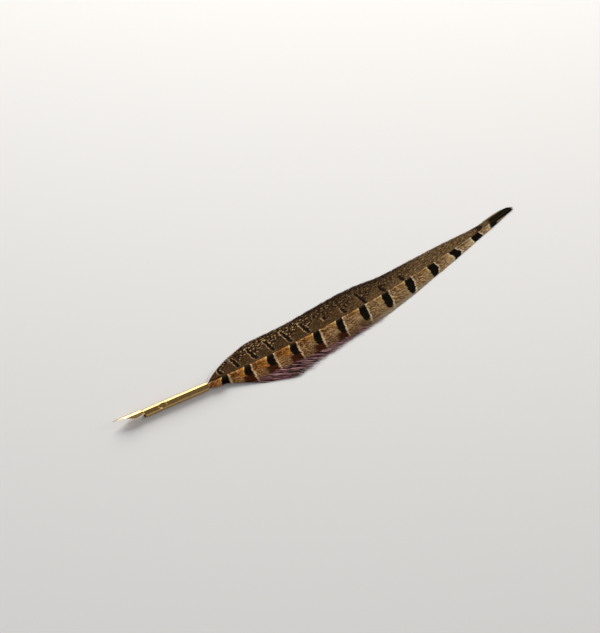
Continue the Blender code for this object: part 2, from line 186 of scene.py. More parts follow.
# Left and right side of each bar at the shaft's line, the same lower down, its lower end,
# and how far its right side draws back for each millimetre below that
BARS = (
    (28.8, 31.6, 26.4, 31.6, -4.4, 0.0), (42.8, 45.6, 40.6, 45.4, -4.8, 0.0),
    (56.6, 60.1, 55.2, 60.0, -5.5, 0.0), (71.5, 75.0, 70.1, 74.6, -6.1, 0.0),
    (86.7, 90.3, 85.5, 89.9, -6.8, 0.1), (101.9, 105.7, 100.8, 105.2, -7.5, 0.1),
    (117.6, 121.6, 116.6, 121.7, -7.8, 0.1), (133.4, 137.7, 132.6, 138.1, -8.2, 0.1),
    (149.7, 154.3, 149.4, 154.9, -8.0, 0.2), (166.1, 171.3, 167.2, 172.9, -8.2, 0.5),
    (182.6, 187.6, 184.5, 191.0, -9.5, 1.3), (199.9, 206.0, 200.6, 208.2, -9.5, 0.3),
    (214.2, 240.0, 214.8, 240.0, -12.0, 0.0), (250.0, 260.0, 250.0, 260.0, -12.0, 0.0),
)
BAR_TOP = 1.9
TOP_AT_TIP = 0.1
BAR_LOWER = -2.4
LOWER_AT_TIP = -3.1
BAR_LEAN = 0.10
# Half a bar's share of the way from one bar to the next, and that half in millimetres
BAR_HALF = 0.155
BAR_HALF_WIDTH = 2.4
# Middle of each line, and the inner and outer end of its dark part
LINES = (
    (17.5, 3.0, 6.0), (29.8, 3.0, 7.2), (40.1, 2.8, 10.6), (51.4, 2.8, 12.2),
    (62.4, 2.8, 12.0), (73.6, 2.7, 12.4), (85.2, 2.6, 11.8), (98.1, 5.6, 7.6),
    (109.8, 2.4, 6.9), (122.9, 1.4, 11.6), (136.2, 1.2, 7.6), (149.5, 1.4, 6.3),
    (164.0, 3.0, 4.0), (178.0, 3.0, 4.0), (192.0, 3.0, 4.0), (205.3, -0.9, 5.4),
    (221.0, 3.0, 4.0),
)
LINE_LEAN = -0.15
LINE_PITCH = 11.8
# How far out the mark before the tip has its point
MARK_POINT = 2.6


def column(rows, k):
    return [(row[0], row[k]) for row in rows]


def bar_sides(x, w):
    """(x, phase) of both sides of every bar at a distance w from the shaft's line."""
    near_tip = ease(x, 140.0, 180.0)
    top = BAR_TOP + (TOP_AT_TIP - BAR_TOP) * near_tip
    lower = BAR_LOWER + (LOWER_AT_TIP - BAR_LOWER) * near_tip
    share = ease(w, lower, top)
    below = min(w - lower, 0.0)
    sides = []
    for k, (top_left, top_right, left, right, _, back) in enumerate(BARS):
        sides.append((left + (top_left - left) * share + BAR_LEAN * below, k - BAR_HALF))
        sides.append((right + (top_right - right) * share + back * below, k + BAR_HALF))
    return sides


BAR_ENDS = [((row[2] + row[3]) / 2, row[4]) for row in BARS]
LINE_PHASE = [(row[0], k) for k, row in enumerate(LINES)]


def pattern_place(x, w, side):
    """(phase, reach): which bar or line a point is by, and how far down its length."""
    if side > 0:
        x_line = x - LINE_LEAN * (w - 4.0)
        low = straight_curve(column(LINES, 1), x_line)
        high = straight_curve(column(LINES, 2), x_line)
        return straight_curve(LINE_PHASE, x_line), (w - low) / max(high - low, 0.5)
    bottom = straight_curve(BAR_ENDS, x)
    return straight_curve(bar_sides(x, w), x), (BAR_TOP - w) / (BAR_TOP - bottom)


# ---------------------------------------------------------------------------------------
# Strands: closed ribbons with values that their material reads
# ---------------------------------------------------------------------------------------

# Edges sharper than this stay creased
CREASE = math.radians(60)
VALUES = ("along", "across", "phase", "reach", "share", "strand", "under", "root", "run")


class Drift:
    """Smooth seeded wandering between -1 and 1 along a length."""

    def __init__(self, seed, step):
        draw = random.Random(seed)
        self.step = step
        self.heights = [draw.uniform(-1.0, 1.0) for _ in range(400)]

    def at(self, x):
        place = x / self.step + 60.0
        i = int(math.floor(place))
        t = place - i
        t = t * t * (3 - 2 * t)
        return self.heights[i % 400] * (1 - t) + self.heights[(i + 1) % 400] * t


class Strands:
    """Ribbons gathered into one mesh."""

    def __init__(self, name):
        self.name = name
        self.corners = []
        self.faces = []
        self.values = {key: [] for key in VALUES}

    def ring(self, points, places):
        """A cross-section's corners and the values at each."""
        start = len(self.corners)
        self.corners += points
        for place in places:
            for key in VALUES:
                self.values[key].append(place[key])
        return range(start, start + len(points))

    def bridge(self, here, there):
        count = len(here)
        for k in range(count):
            j = (k + 1) % count
            self.faces.append((here[k], here[j], there[j], there[k]))

    def cap(self, ring):
        self.faces.append(tuple(ring))

    def ribbon(self, path, sideways, widths, heights, tilts, about, shift=Vector((0, 0, 0))):
        """A ribbon along path: thin at both edges, ridged along its middle.

        about holds the values that stay the same, and share and run for every point.
        """
        count = len(path)
        rings = []
        for k in range(count):
            ahead = path[min(k + 1, count - 1)] - path[max(k - 1, 0)]
            across = sideways[k] - ahead * (sideways[k].dot(ahead) / ahead.length_squared)
            across.normalize()
            up = ahead.cross(across).normalized()
            if up.z < 0:
                up = -up
            half, height, tilt = widths[k], heights[k], tilts[k]
            points = [
                path[k] - across * half - up * tilt,
                path[k] + up * height,
                path[k] + across * half + up * tilt,
                path[k] - up * (height * 0.6),
            ]
            places = []
            for j, point in enumerate(points):
                seen = point - shift
                centre = shaft_centre(seen.x)
                w = seen.y - centre.y
                phase, reach = pattern_place(seen.x, w, about["side"])
                places.append({
                    "along": seen.x, "across": w, "phase": phase, "reach": reach,
                    "share": about["share"][k], "strand": about["strand"],
                    "under": float(j == 3), "root": about["root"], "run": about["run"][k],
                })
            rings.append(self.ring(points, places))
        for here, there in zip(rings, rings[1:]):
            self.bridge(here, there)
        self.cap(rings[0])
        self.cap(rings[-1])

    def make(self, material, body, material_slot, replaced):
        """The finished object, riding on its body."""
        bm = bmesh.new()
        made = [bm.verts.new(corner * MM) for corner in self.corners]
        for face in self.faces:
            bm.faces.new([made[i] for i in face])
        bmesh.ops.recalc_face_normals(bm, faces=bm.faces)
        mesh = bpy.data.meshes.new(self.name)
        bm.to_mesh(mesh)
        bm.free()
        for key in VALUES:
            layer = mesh.attributes.new(key, "FLOAT", "POINT")
            layer.data.foreach_set("value", self.values[key])
        mesh.shade_smooth()
        mesh.set_sharp_from_angle(angle=CREASE)
        mesh.materials.append(material)
        piece = bpy.data.objects.new(self.name, mesh)
        bpy.context.scene.collection.objects.link(piece)
        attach(piece, body)
        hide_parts(*replaced)
        return piece


# ---------------------------------------------------------------------------------------
# Barbs of the two vanes
# ---------------------------------------------------------------------------------------

BARB_SPACING = 0.42
OVERLAP = 1.40
RIDGE = 0.035
TILT = 0.028
SEGMENT = 1.5
# Where the web has parted: place along the shaft and width of the gap at the edge
PARTINGS = {
    1: ((34.0, 0.35), (58.5, 0.55), (97.0, 0.45), (131.0, 0.5), (176.0, 0.35)),
    -1: ((52.0, 0.5), (71.0, 0.7), (118.0, 0.5), (129.5, 0.6), (160.0, 0.4)),
}
PARTING_REACH = 3.5
# How ragged the barbs' ends are in the web, and how ragged, crooked and raised where loose
RAGGED = 0.008
RAGGED_LOOSE = 0.10
WANDER_LOOSE = 2.0
LIFT_LOOSE = 1.6
# How far the pattern shifts from one barb to the next, by chance and in drifts
PATTERN_JITTER = 0.16
PATTERN_DRIFT = 0.25
# Waves in the web: along the feather, up and down, and from clump to clump
SWAY = 0.35
HEAVE = 0.07
CLUMP = 0.11
# Least spacing of barbs, and least height over the table of the web, loose barbs and down
LEAST_PITCH = 0.12
LOWEST_WEB = 0.12
LOWEST_LOOSE = 0.15
LOWEST_DOWN = 0.25
# Steps along each kind of barb, and the share of one looked ahead to find its direction
FEWEST_SEGMENTS = 5
LOOSE_STEPS = 9
DOWN_STEPS = 8
STRAY_STEPS = 14
LOOKAHEAD = 0.02

draw = random.Random(11)
heave = {side: Drift(21 + side, 5.0) for side in (1, -1)}
clump = {side: Drift(61 + side, 1.5) for side in (1, -1)}
sway = {side: Drift(31 + side, 7.0) for side in (1, -1)}
shade_drift = {side: Drift(41 + side, 1.3) for side in (1, -1)}
edge_drift = {side: Drift(51 + side, 2.2) for side in (1, -1)}


def parted(root, side):
    """How far a barb's end has moved along the feather, away from the nearest partings."""
    moved = 0.0
    for place, gap in PARTINGS[side]:
        distance = root - place
        push = gap / 2 * math.exp(-abs(distance) / PARTING_REACH)
        moved += push if distance > 0 else -push
    return moved


def point_and_across(root, t, side, length):
    """A barb's point at share t, and the way across to the next barb, square to its run."""
    point = barb_point(root, t, side, length)
    beside = barb_point(root + BARB_SPACING, t, side, length) - point
    ahead = barb_point(root, t + LOOKAHEAD, side, length) - point
    return point, beside - ahead * (beside.dot(ahead) / ahead.length_squared)


def vane_barb(strands, root, side):
    """One barb of a hooked web, with its loose end where the vane has a fringe."""
    strand = draw.random()
    loose_from = fringe_start(root) if side < 0 else 1.0
    fringe = 1.0 - loose_from
    raggedness = RAGGED + RAGGED_LOOSE * fringe
    length = 1.0 + edge_drift[side].at(root) * RAGGED + draw.uniform(-1, 0.6) * raggedness
    rough_length = smooth_curve(WIDTHS[side], root) * math.hypot(1.0, SWEEP[side])
    count = max(int(rough_length / SEGMENT), FEWEST_SEGMENTS)
    wander = draw.uniform(-1, 1) * WANDER_LOOSE * fringe
    lift_end = draw.uniform(-0.1, 1.0) * LIFT_LOOSE * fringe
    jitter = draw.gauss(0.0, PATTERN_JITTER) + PATTERN_DRIFT * shade_drift[side].at(root)
    moved = parted(root, side)
    bow = sway[side].at(root) * SWAY
    path, sideways, widths, heights, tilts, shares, runs = [], [], [], [], [], [], []
    run = 0.0
    for k in range(count + 1):
        t = k / count
        point, across = point_and_across(root, t, side, length)
        pitch = max(across.length, LEAST_PITCH)
        freed = ease(t, loose_from - 0.04, 1.0) if fringe > 0 else 0.0
        point = point + Vector((moved * t**2 + bow * t * t, 0.0, 0.0))
        point = point + across.normalized() * (wander * freed**1.5)
        clump_rise = clump[side].at(root + 1.5 * t) * CLUMP * ease(t, 0.02, 0.3)
        heaved = heave[side].at(root + 4 * t) * HEAVE * t
        point.z += heaved + clump_rise + lift_end * freed**1.4
        point.z = max(point.z, LOWEST_WEB)
        if path:
            run += (point - path[-1]).length
        end = 1.0 - 0.72 * ease(t, 0.93 - 0.2 * fringe, 1.0)
        path.append(point)
        sideways.append(across)
        widths.append(pitch / 2 * OVERLAP * end * (1.0 - 0.35 * freed))
        heights.append(RIDGE * (1.6 - 0.9 * t))
        tilts.append(TILT * (1.0 - 0.5 * t))
        shares.append(t)
        runs.append(run)
    direction = (path[-1] - path[0]).normalized()
    about = {"side": side, "strand": strand, "root": root, "share": shares, "run": runs}
    strands.ribbon(path, sideways, widths, heights, tilts, about, direction * jitter)


def loose_barb(strands, root, side):
    """A thin barb end that has come away and lies on the fringe."""
    strand = draw.random()
    start = fringe_start(root) - draw.uniform(0.02, 0.16)
    length = 1.0 + draw.uniform(-0.16, 0.07)
    wander = draw.uniform(-1.0, 1.0) * 1.2
    curl = draw.uniform(-0.5, 0.5)
    rise = draw.uniform(0.08, 0.45)
    thick = draw.uniform(0.06, 0.17)
    path, sideways, widths, heights, shares, runs = [], [], [], [], [], []
    run = 0.0
    for k in range(LOOSE_STEPS + 1):
        s = k / LOOSE_STEPS
        t = start + (1.0 - start) * s
        point, across = point_and_across(root, t, side, length)
        across.normalize()
        point = point + across * (wander * s**1.6 + curl * math.sin(math.pi * s) * 0.6)
        point.z += 0.06 + rise * math.sin(math.pi * min(s * 0.9, 1.0))
        point.z = max(point.z, LOWEST_LOOSE)
        if path:
            run += (point - path[-1]).length
        path.append(point)
        sideways.append(across)
        widths.append(thick * (1.0 - 0.8 * ease(s, 0.5, 1.0)) * ease(s, -0.3, 0.2))
        heights.append(0.03)
        shares.append(t)
        runs.append(run)
    about = {"side": side, "strand": strand, "root": root, "share": shares, "run": runs}
    strands.ribbon(path, sideways, widths, heights, [0.0] * len(path), about)


def down_barb(strands, side):
    """A short soft barb at the feather's base, pressed along the calamus."""
    x0 = BARREL_REAR - 0.6 + draw.random() ** 1.5 * 4.0
    turn = draw.uniform(0.25, 1.0)
    angle = side * (0.35 + 1.75 * turn)
    length = draw.uniform(6.0, 10.5)
    spread = draw.uniform(0.35, 1.0)
    strand = draw.random()
    path, sideways, widths, heights, shares, runs = [], [], [], [], [], []
    reach_out = {1: 1.1, -1: 1.5}[side] * spread
    for k in range(DOWN_STEPS + 1):
        s = k / DOWN_STEPS
        x = x0 + length * s
        centre = shaft_centre(x)
        radius = shaft_radius(x) * 0.96 + reach_out * ease(s, 0.0, 0.75) + 0.15 * s
        wave = 0.12 * math.sin(6.0 * s + 20.0 * strand)
        swing = angle * (1.0 - 0.12 * s) + wave
        around = Vector((0.0, math.sin(swing), math.cos(swing)))
        point = centre + around * radius
        point.z = max(point.z, LOWEST_DOWN)
        path.append(point)
        sideways.append(Vector((0.0, math.cos(swing), -math.sin(swing))))
        widths.append(0.14 * (1.0 - 0.8 * ease(s, 0.5, 1.0)))
        heights.append(0.04)
        shares.append(0.25 * s)
        runs.append(length * s)
    about = {"side": side, "strand": strand, "root": x0, "share": shares, "run": runs}
    strands.ribbon(path, sideways, widths, heights, [0.0] * len(path), about)


def stray_barb(strands, points, thick, side):
    """A single hair-thin barb through the given points."""
    path, sideways, widths, shares, runs = [], [], [], [], []
    for k in range(STRAY_STEPS + 1):
        s = k / STRAY_STEPS
        step = s * (len(points) - 1)
        place = [smooth_curve([(i, p[j]) for i, p in enumerate(points)], step) for j in range(3)]
        centre = shaft_centre(place[0])
        path.append(Vector((place[0], centre.y + place[1], place[2])))
        sideways.append(Vector((0.0, 0.6, 0.8)))
        widths.append(thick * (1.0 - 0.6 * s))
        shares.append(0.6)
        runs.append(s * 8.0)
    about = {"side": side, "strand": 0.95, "root": 20.0, "share": shares, "run": runs}
    strands.ribbon(path, sideways, widths, [thick * 0.8] * len(path), [0.0] * len(path), about)


def spaced(first, last, spacing):
    count = max(int(round((last - first) / spacing)), 1)
    return [first + (last - first) * k / count for k in range(count)]


# ---------------------------------------------------------------------------------------
# Materials
# ---------------------------------------------------------------------------------------


def seen(red, green, blue):
    """A colour as the eye reads it, 0 to 255, as the surface's own linear colour."""
    def linear(v):
        v = v / 255
        return v / 12.92 if v <= 0.04045 else ((v + 0.055) / 1.055) ** 2.4
    return tuple(linear(v) for v in (red, green, blue))


class Number:
    """A number in a material's nodes that can be added to, multiplied and compared."""

    def __init__(self, paint, socket):
        self.paint = paint
        self.socket = socket

    def __add__(self, other):
        return self.paint.math("ADD", self, other)

    __radd__ = __add__

    def __sub__(self, other):
        return self.paint.math("SUBTRACT", self, other)

    def __rsub__(self, other):
        return self.paint.math("SUBTRACT", other, self)

    def __mul__(self, other):
        return self.paint.math("MULTIPLY", self, other)

    __rmul__ = __mul__

    def __truediv__(self, other):
        return self.paint.math("DIVIDE", self, other)

    def __abs__(self):
        return self.paint.math("ABSOLUTE", self)

    def power(self, exponent):
        return self.paint.math("POWER", self, exponent)


class Paint:
    """A node material and short ways to build it."""

    def __init__(self, name):
        self.material = bpy.data.materials.new(name)
        self.material.use_nodes = True
        self.tree = self.material.node_tree
        self.shader = self.tree.nodes["Principled BSDF"]

    def node(self, kind, **settings):
        made = self.tree.nodes.new(kind)
        for key, value in settings.items():
            setattr(made, key, value)
        return made

    def feed(self, socket, value):
        if isinstance(value, Number):
            self.tree.links.new(value.socket, socket)
        elif isinstance(value, tuple) and len(value) == 3 and len(socket.default_value) == 4:
            socket.default_value = (*value, 1.0)
        else:
            socket.default_value = value

    def math(self, operation, *values):
        node = self.node("ShaderNodeMath", operation=operation)
        for socket, value in zip(node.inputs, values):
            self.feed(socket, value)
        return Number(self, node.outputs[0])

    def value(self, name):
        """A value that the strands carry."""
        node = self.node("ShaderNodeAttribute", attribute_name=name)
        return Number(self, node.outputs["Fac"])

    def place(self):
        """The object's own x, y and z in millimetres."""
        coordinates = self.node("ShaderNodeTexCoord")
        parts = self.node("ShaderNodeSeparateXYZ")
        self.tree.links.new(coordinates.outputs["Object"], parts.inputs[0])
        return [Number(self, socket) * 1000.0 for socket in parts.outputs]

    def vector(self, x, y, z=0.0):
        node = self.node("ShaderNodeCombineXYZ")
        for socket, value in zip(node.inputs, (x, y, z)):
            self.feed(socket, value)
        return Number(self, node.outputs[0])

    def noise(self, x, y, z=0.0, scale=1.0, detail=2.0, roughness=0.5):
        """Cloudy noise around 0.5."""
        node = self.node("ShaderNodeTexNoise")
        self.feed(node.inputs["Vector"], self.vector(x, y, z))
        for key, value in (("Scale", scale), ("Detail", detail), ("Roughness", roughness)):
            node.inputs[key].default_value = value
        return Number(self, node.outputs["Fac"])

    def cells(self, x, y, z, scale):
        """Distance to the nearest of scattered points."""
        node = self.node("ShaderNodeTexVoronoi")
        self.feed(node.inputs["Vector"], self.vector(x, y, z))
        node.inputs["Scale"].default_value = scale
        return Number(self, node.outputs["Distance"])

    def ease(self, value, low, high, to_low=0.0, to_high=1.0):
        node = self.node("ShaderNodeMapRange", interpolation_type="SMOOTHSTEP")
        for key, number in (
            ("Value", value), ("From Min", low), ("From Max", high),
            ("To Min", to_low), ("To Max", to_high),
        ):
            self.feed(node.inputs[key], number)
        return Number(self, node.outputs["Result"])

    def mix(self, share, first, second, blend="MIX"):
        node = self.node("ShaderNodeMix", data_type="RGBA", blend_type=blend)
        self.feed(node.inputs[0], share)
        self.feed(node.inputs[6], first)
        self.feed(node.inputs[7], second)
        return Number(self, node.outputs[2])

    def bump(self, height, strength, distance):
        node = self.node("ShaderNodeBump")
        self.feed(node.inputs["Height"], height)
        node.inputs["Strength"].default_value = strength
        node.inputs["Distance"].default_value = distance * MM
        self.tree.links.new(node.outputs[0], self.shader.inputs["Normal"])

    def finish(self, color, roughness, **settings):
        self.feed(self.shader.inputs["Base Color"], color)
        self.feed(self.shader.inputs["Roughness"], roughness)
        for key, value in settings.items():
            self.shader.inputs[key.replace("_", " ")].default_value = value
        return self.material


class Feather(Paint):
    """What both vanes share: places, streaks along the barbs and the final shade."""

    def __init__(self, name):
        super().__init__(name)
        self.x = self.value("along")
        self.w = self.value("across")
        self.share = self.value("share")
        self.reach = self.value("reach")
        self.strand = self.value("strand")
        self.under = self.value("under")
        self.root = self.value("root")
        self.run = self.value("run")
        phase = self.value("phase")
        self.offset = phase - self.math("ROUND", phase)
        self.streaks = self.noise(self.root * 0.85, self.run * 0.11, detail=2.5)
        self.fine = self.noise(self.root * 3.1, self.run * 0.4, 4.0, detail=2.0)

    def feather_finish(self, color, shine=0.02):
        """Streaks, a shade for each barb, and a duller underside."""
        tone = self.streaks * 1.1 + self.strand * 0.24 + self.fine * 0.40 + 0.13
        color = self.mix(1.0, color, self.vector(tone, tone, tone), "MULTIPLY")
        dull = seen(88, 78, 66)
        color = self.mix(self.under * 0.55, color, dull)
        rough = self.ease(self.fine, 0.3, 0.7, 0.72, 0.86)
        self.bump(self.fine, 0.35, 0.05)
        return self.finish(color, rough, Specular_IOR_Level=shine)


def barred_pattern(paint):
    """Black bars edged in cream on orange to tan, red-brown below them, purple at the edge."""
    x, w, reach = paint.x, paint.w, paint.reach
    half = BAR_HALF_WIDTH
    ripple = paint.noise(x * 0.8, w * 0.8, 2.0, detail=2.0) - 0.5
    tooth = paint.noise(x * 1.5, w * 1.5, 5.0, detail=1.0) - 0.5
    beside = paint.offset * (half / BAR_HALF) + ripple * 0.5
    down = paint.math("MAXIMUM", reach * 1.9 - 0.9, 0.0)
    # Below its middle the bar's base side curves in toward the other, which stays straight
    left = paint.ease(beside, 0.6, -0.4)
    apart = abs(beside) / half
    straight = paint.ease(x, 106.0, 122.0, 4.0, 2.8)
    sides = apart.power(2.2) * left + apart.power(straight) * (1.0 - left)
    oval = (sides + down.power(2.4)).power(0.45)
    outside = (oval - 1.0) * half
    bar = 1.0 - paint.ease(outside + tooth * 0.4, -0.14, 0.14)
    # Cream rims: a crescent on the base side, and a toothed line on the tip side
    moon_end = paint.ease(x, 150.0, 190.0, -2.2, -5.5)
    crescent = paint.ease(outside, 1.25, 0.30) * left * paint.ease(w, moon_end, moon_end + 1.8)
    drawn_in = paint.ease(x, 84.0, 118.0, 0.0, 0.08)
    line_at = half + 0.55 - paint.math("MAXIMUM", BAR_TOP - w, 0.0) * drawn_in
    line_at = line_at + ripple * 1.9 + tooth * 1.9
    from_line = beside - line_at
    line = paint.ease(abs(from_line), 0.72, 0.26)
    line = line * paint.ease(w + ripple * 3.0, -12.0, -6.0) * paint.ease(w, 2.2, -2.0, 0.70, 1.0)
    # Ground: mottled after a bar, bright before the next one
    gap = 1.0 - 2.0 * BAR_HALF
    past = paint.ease(paint.offset, -0.01, 0.01)
    after = (paint.offset - BAR_HALF + (1.0 - past)) / gap
    before_bar = paint.ease(after, 0.30, 0.88)
    upper_end = paint.ease(x, 60.0, 90.0, -6.4, -4.2)
    upper = paint.ease(w + ripple * 1.5, upper_end, upper_end + 3.8)
    toward_tip = paint.ease(x, 60.0, 125.0)
    near_tip = paint.ease(x, 164.0, 198.0)
    glow = paint.mix(toward_tip, seen(202, 122, 36), seen(182, 136, 76))
    glow = paint.mix(near_tip, glow, seen(222, 194, 146))
    plain = paint.mix(toward_tip, seen(138, 82, 28), seen(142, 108, 68))
    plain = paint.mix(near_tip, plain, seen(190, 158, 114))
    ground = paint.mix(before_bar * 0.9 * upper + 0.05, plain, glow)
    olive = paint.mix(toward_tip, seen(136, 100, 66), seen(150, 122, 86))
    olive = paint.mix(near_tip, olive, seen(212, 186, 144))
    ground = paint.mix((1.0 - upper) * 0.85, ground, olive)
    long_streaks = paint.noise(paint.root * 0.55, paint.run * 0.09, 21.0, detail=3.0)
    ground = paint.mix(paint.ease(long_streaks, 0.53, 0.64) * 0.60, ground, seen(206, 172, 128))
    ground = paint.mix(paint.ease(long_streaks, 0.47, 0.36) * 0.50, ground, seen(84, 50, 22))
    flecks = paint.noise(paint.root * 0.42, paint.run * 0.85, 7.0, detail=2.0) * 0.5
    flecks = flecks + paint.noise(x * 1.0, w * 1.0, 8.0, detail=2.0) * 0.5
    mottled = paint.ease(after, 1.0, 0.35, 0.20, 1.0) * paint.ease(flecks, 0.485, 0.535)
    rust = paint.mix(near_tip, seen(78, 42, 14), seen(104, 74, 44))
    bright = paint.ease(flecks, 0.465, 0.42) * paint.ease(x, 60.0, 150.0, 0.50, 0.80)
    ground = paint.mix(bright, ground, seen(206, 168, 112))
    ground = paint.mix(mottled * 0.78, ground, rust)
    outer = paint.ease(w + ripple * 2.0, -5.0, -8.0) * paint.ease(x, 170.0, 140.0)
    outer = outer * paint.ease(x, 84.0, 112.0, 0.22, 0.50)
    ground = paint.mix(outer, ground, seen(84, 54, 34))
    # Painted shade: a darker strip along the shaft, on the shaft and the barred barbs beside it,
    # toward the tip
    shade_by_shaft = paint.ease(w, -1.8, -0.4) * paint.ease(x, 146.0, 160.0)
    ground = paint.mix(shade_by_shaft * 0.42, ground, seen(82, 60, 36))
    # Red-brown patch that hangs below each bar
    patch = paint.ease(reach + ripple * 0.3, 0.80, 0.98) * paint.ease(reach, 2.25, 1.70)
    patch = patch * paint.ease(beside + ripple * 3.0, -6.2, -3.0)
    patch = patch * paint.ease(from_line, 0.1, -0.4)
    patch = patch * paint.ease(x, 128.0, 104.0) * paint.ease(x, 32.0, 40.0)
    ground = paint.mix(patch * 0.96, ground, seen(58, 22, 5))
    # Purple fringe, its pale and bright pink strands painted highlights on the loose barbs; it
    # starts farther out toward the tip
    start = paint.ease(x, 46.0, 92.0, -8.3, -10.0) - paint.ease(x, 100.0, 124.0) * 0.5
    edge = paint.ease(w - start + ripple * 2.0 + paint.streaks * 3.4 - 1.7, 0.5, -1.4)
    purple_zone = paint.ease(x, 38.0, 50.0) * paint.ease(x, 136.0, 120.0) * edge
    strands = paint.strand * 0.7 + paint.streaks * 1.0 - 0.35
    dusky = paint.mix(paint.ease(x, 86.0, 96.0), seen(46, 27, 26), seen(108, 82, 74))
    purple = paint.mix(paint.ease(strands, 0.15, 0.42), seen(42, 24, 24), dusky)
    # Painted highlight: pale strands on the fringe
    purple = paint.mix(paint.ease(strands, 0.60, 0.78), purple, seen(200, 160, 150))
    # Pink patches, their brighter strands a painted highlight
    blush = paint.noise(paint.root * 0.30, w * 0.25, 3.0, detail=1.5)
    pink = paint.ease(blush, 0.46, 0.60) * paint.ease(x, 84.0, 104.0, 0.5, 0.8)
    rosy_and_highlight = paint.mix(paint.ease(strands, 0.3, 0.5), seen(88, 44, 56), seen(170, 108, 124))
    purple = paint.mix(pink, purple, rosy_and_highlight)
    ground = paint.mix(purple_zone * 0.95, ground, purple)
    pale_edge = paint.ease(paint.share + ripple * 0.1, 0.74, 0.94) * paint.ease(x, 112.0, 126.0)
    pale_edge = pale_edge * paint.ease(x, 176.0, 150.0)
    ground = paint.mix(pale_edge * 0.8, ground, seen(160, 142, 118))
    # Rims and bars on top
    cream = paint.mix(toward_tip, seen(224, 186, 142), seen(222, 198, 160))
    cream = paint.mix(near_tip, cream, seen(236, 218, 182))
    ground = paint.mix(line * 0.92, ground, cream)
    moon = paint.mix(toward_tip, seen(236, 198, 112), seen(212, 184, 126))
    moon = paint.mix(near_tip, moon, seen(232, 214, 172))
    ground = paint.mix(crescent * 0.95, ground, moon)
    ground = paint.mix(bar, ground, seen(22, 18, 11))
    tip_strip = paint.ease(x, 219.0, 221.0) * paint.ease(x, 227.5, 225.5)
    tip_strip = tip_strip * paint.ease(w, -0.95, -1.25)
    tip = paint.mix(tip_strip * 0.7, seen(30, 25, 13), seen(170, 146, 110))
    return paint.mix(paint.ease(x, 213.6, 215.6), ground, tip)


